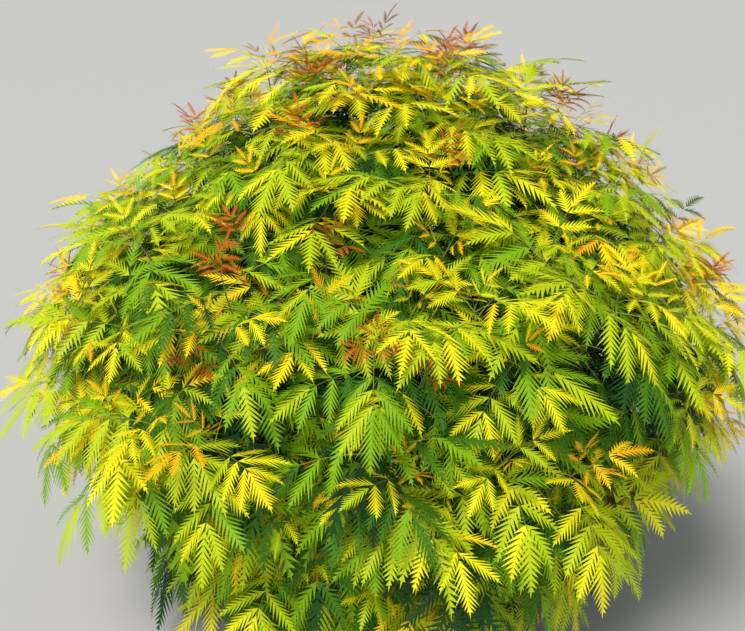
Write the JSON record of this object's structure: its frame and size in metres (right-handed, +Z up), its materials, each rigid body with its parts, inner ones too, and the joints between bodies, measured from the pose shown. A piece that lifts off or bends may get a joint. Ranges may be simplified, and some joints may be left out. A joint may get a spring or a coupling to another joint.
{
  "type": "golden cut-leaf red elderberry",
  "caption": "Dense dome-shaped deciduous shrub of arching boughs with gold, finely cut pinnate leaves, rooted at a flat cut under one short stem.",
  "frame": {"origin": "middle of the flat cut under the stem, at ground level", "axes": "+Z up, -Y towards the front that the picture shows, +X to the right seen from the front"},
  "size_m": [1.8856, 1.882, 1.4585],
  "materials": {
    "stem_bark": "rough grey-brown bark with raised pores and shallow cracks",
    "bough_bark": "matt tan bark with raised pores, smoother than the stem's",
    "foliage_top": "soft matt yellow foliage",
    "foliage_shoulder": "soft matt yellow-lime foliage",
    "foliage_waist": "soft matt lime foliage",
    "foliage_skirt": "soft matt green foliage",
    "leaf_gold": "satin leaf, bright yellow where the sun has reached it",
    "leaf_lime": "satin leaf, yellow-green",
    "leaf_green": "satin leaf, fresh green",
    "leaf_deep": "satin leaf, deep green in the shade of the crown",
    "shoot_copper": "soft copper-red young leaves at shoot tips",
    "leaf_stalk": "smooth pale green stalk, flushed purple-brown in places",
    "twig_bark": "matt green-brown young bark"
  },
  "bodies": {
    "root": {"stem": "stem_bark", "bough_top_1": "bough_bark", "bough_top_2": "bough_bark", "bough_top_3": "bough_bark", "bough_shoulder_1": "bough_bark", "bough_shoulder_2": "bough_bark", "bough_shoulder_3": "bough_bark", "bough_shoulder_4": "bough_bark", "bough_shoulder_5": "bough_bark", "bough_waist_1": "bough_bark", "bough_waist_2": "bough_bark", "bough_waist_3": "bough_bark", "bough_waist_4": "bough_bark", "bough_waist_5": "bough_bark", "bough_waist_6": "bough_bark", "bough_waist_7": "bough_bark", "bough_skirt_1": "bough_bark", "bough_skirt_2": "bough_bark", "bough_skirt_3": "bough_bark", "bough_skirt_4": "bough_bark", "bough_skirt_5": "bough_bark", "bough_skirt_6": "bough_bark", "bough_skirt_7": "bough_bark", "foliage_top_1": "foliage_top", "foliage_top_2": "foliage_top", "foliage_top_3": "foliage_top", "foliage_shoulder_1": "foliage_shoulder", "foliage_shoulder_2": "foliage_shoulder", "foliage_shoulder_3": "foliage_shoulder", "foliage_shoulder_4": "foliage_shoulder", "foliage_shoulder_5": "foliage_shoulder", "foliage_waist_1": "foliage_waist", "foliage_waist_2": "foliage_waist", "foliage_waist_3": "foliage_waist", "foliage_waist_4": "foliage_waist", "foliage_waist_5": "foliage_waist", "foliage_waist_6": "foliage_waist", "foliage_waist_7": "foliage_waist", "foliage_skirt_1": "foliage_skirt", "foliage_skirt_2": "foliage_skirt", "foliage_skirt_3": "foliage_skirt", "foliage_skirt_4": "foliage_skirt", "foliage_skirt_5": "foliage_skirt", "foliage_skirt_6": "foliage_skirt", "foliage_skirt_7": "foliage_skirt"}
  },
  "joints": []
}
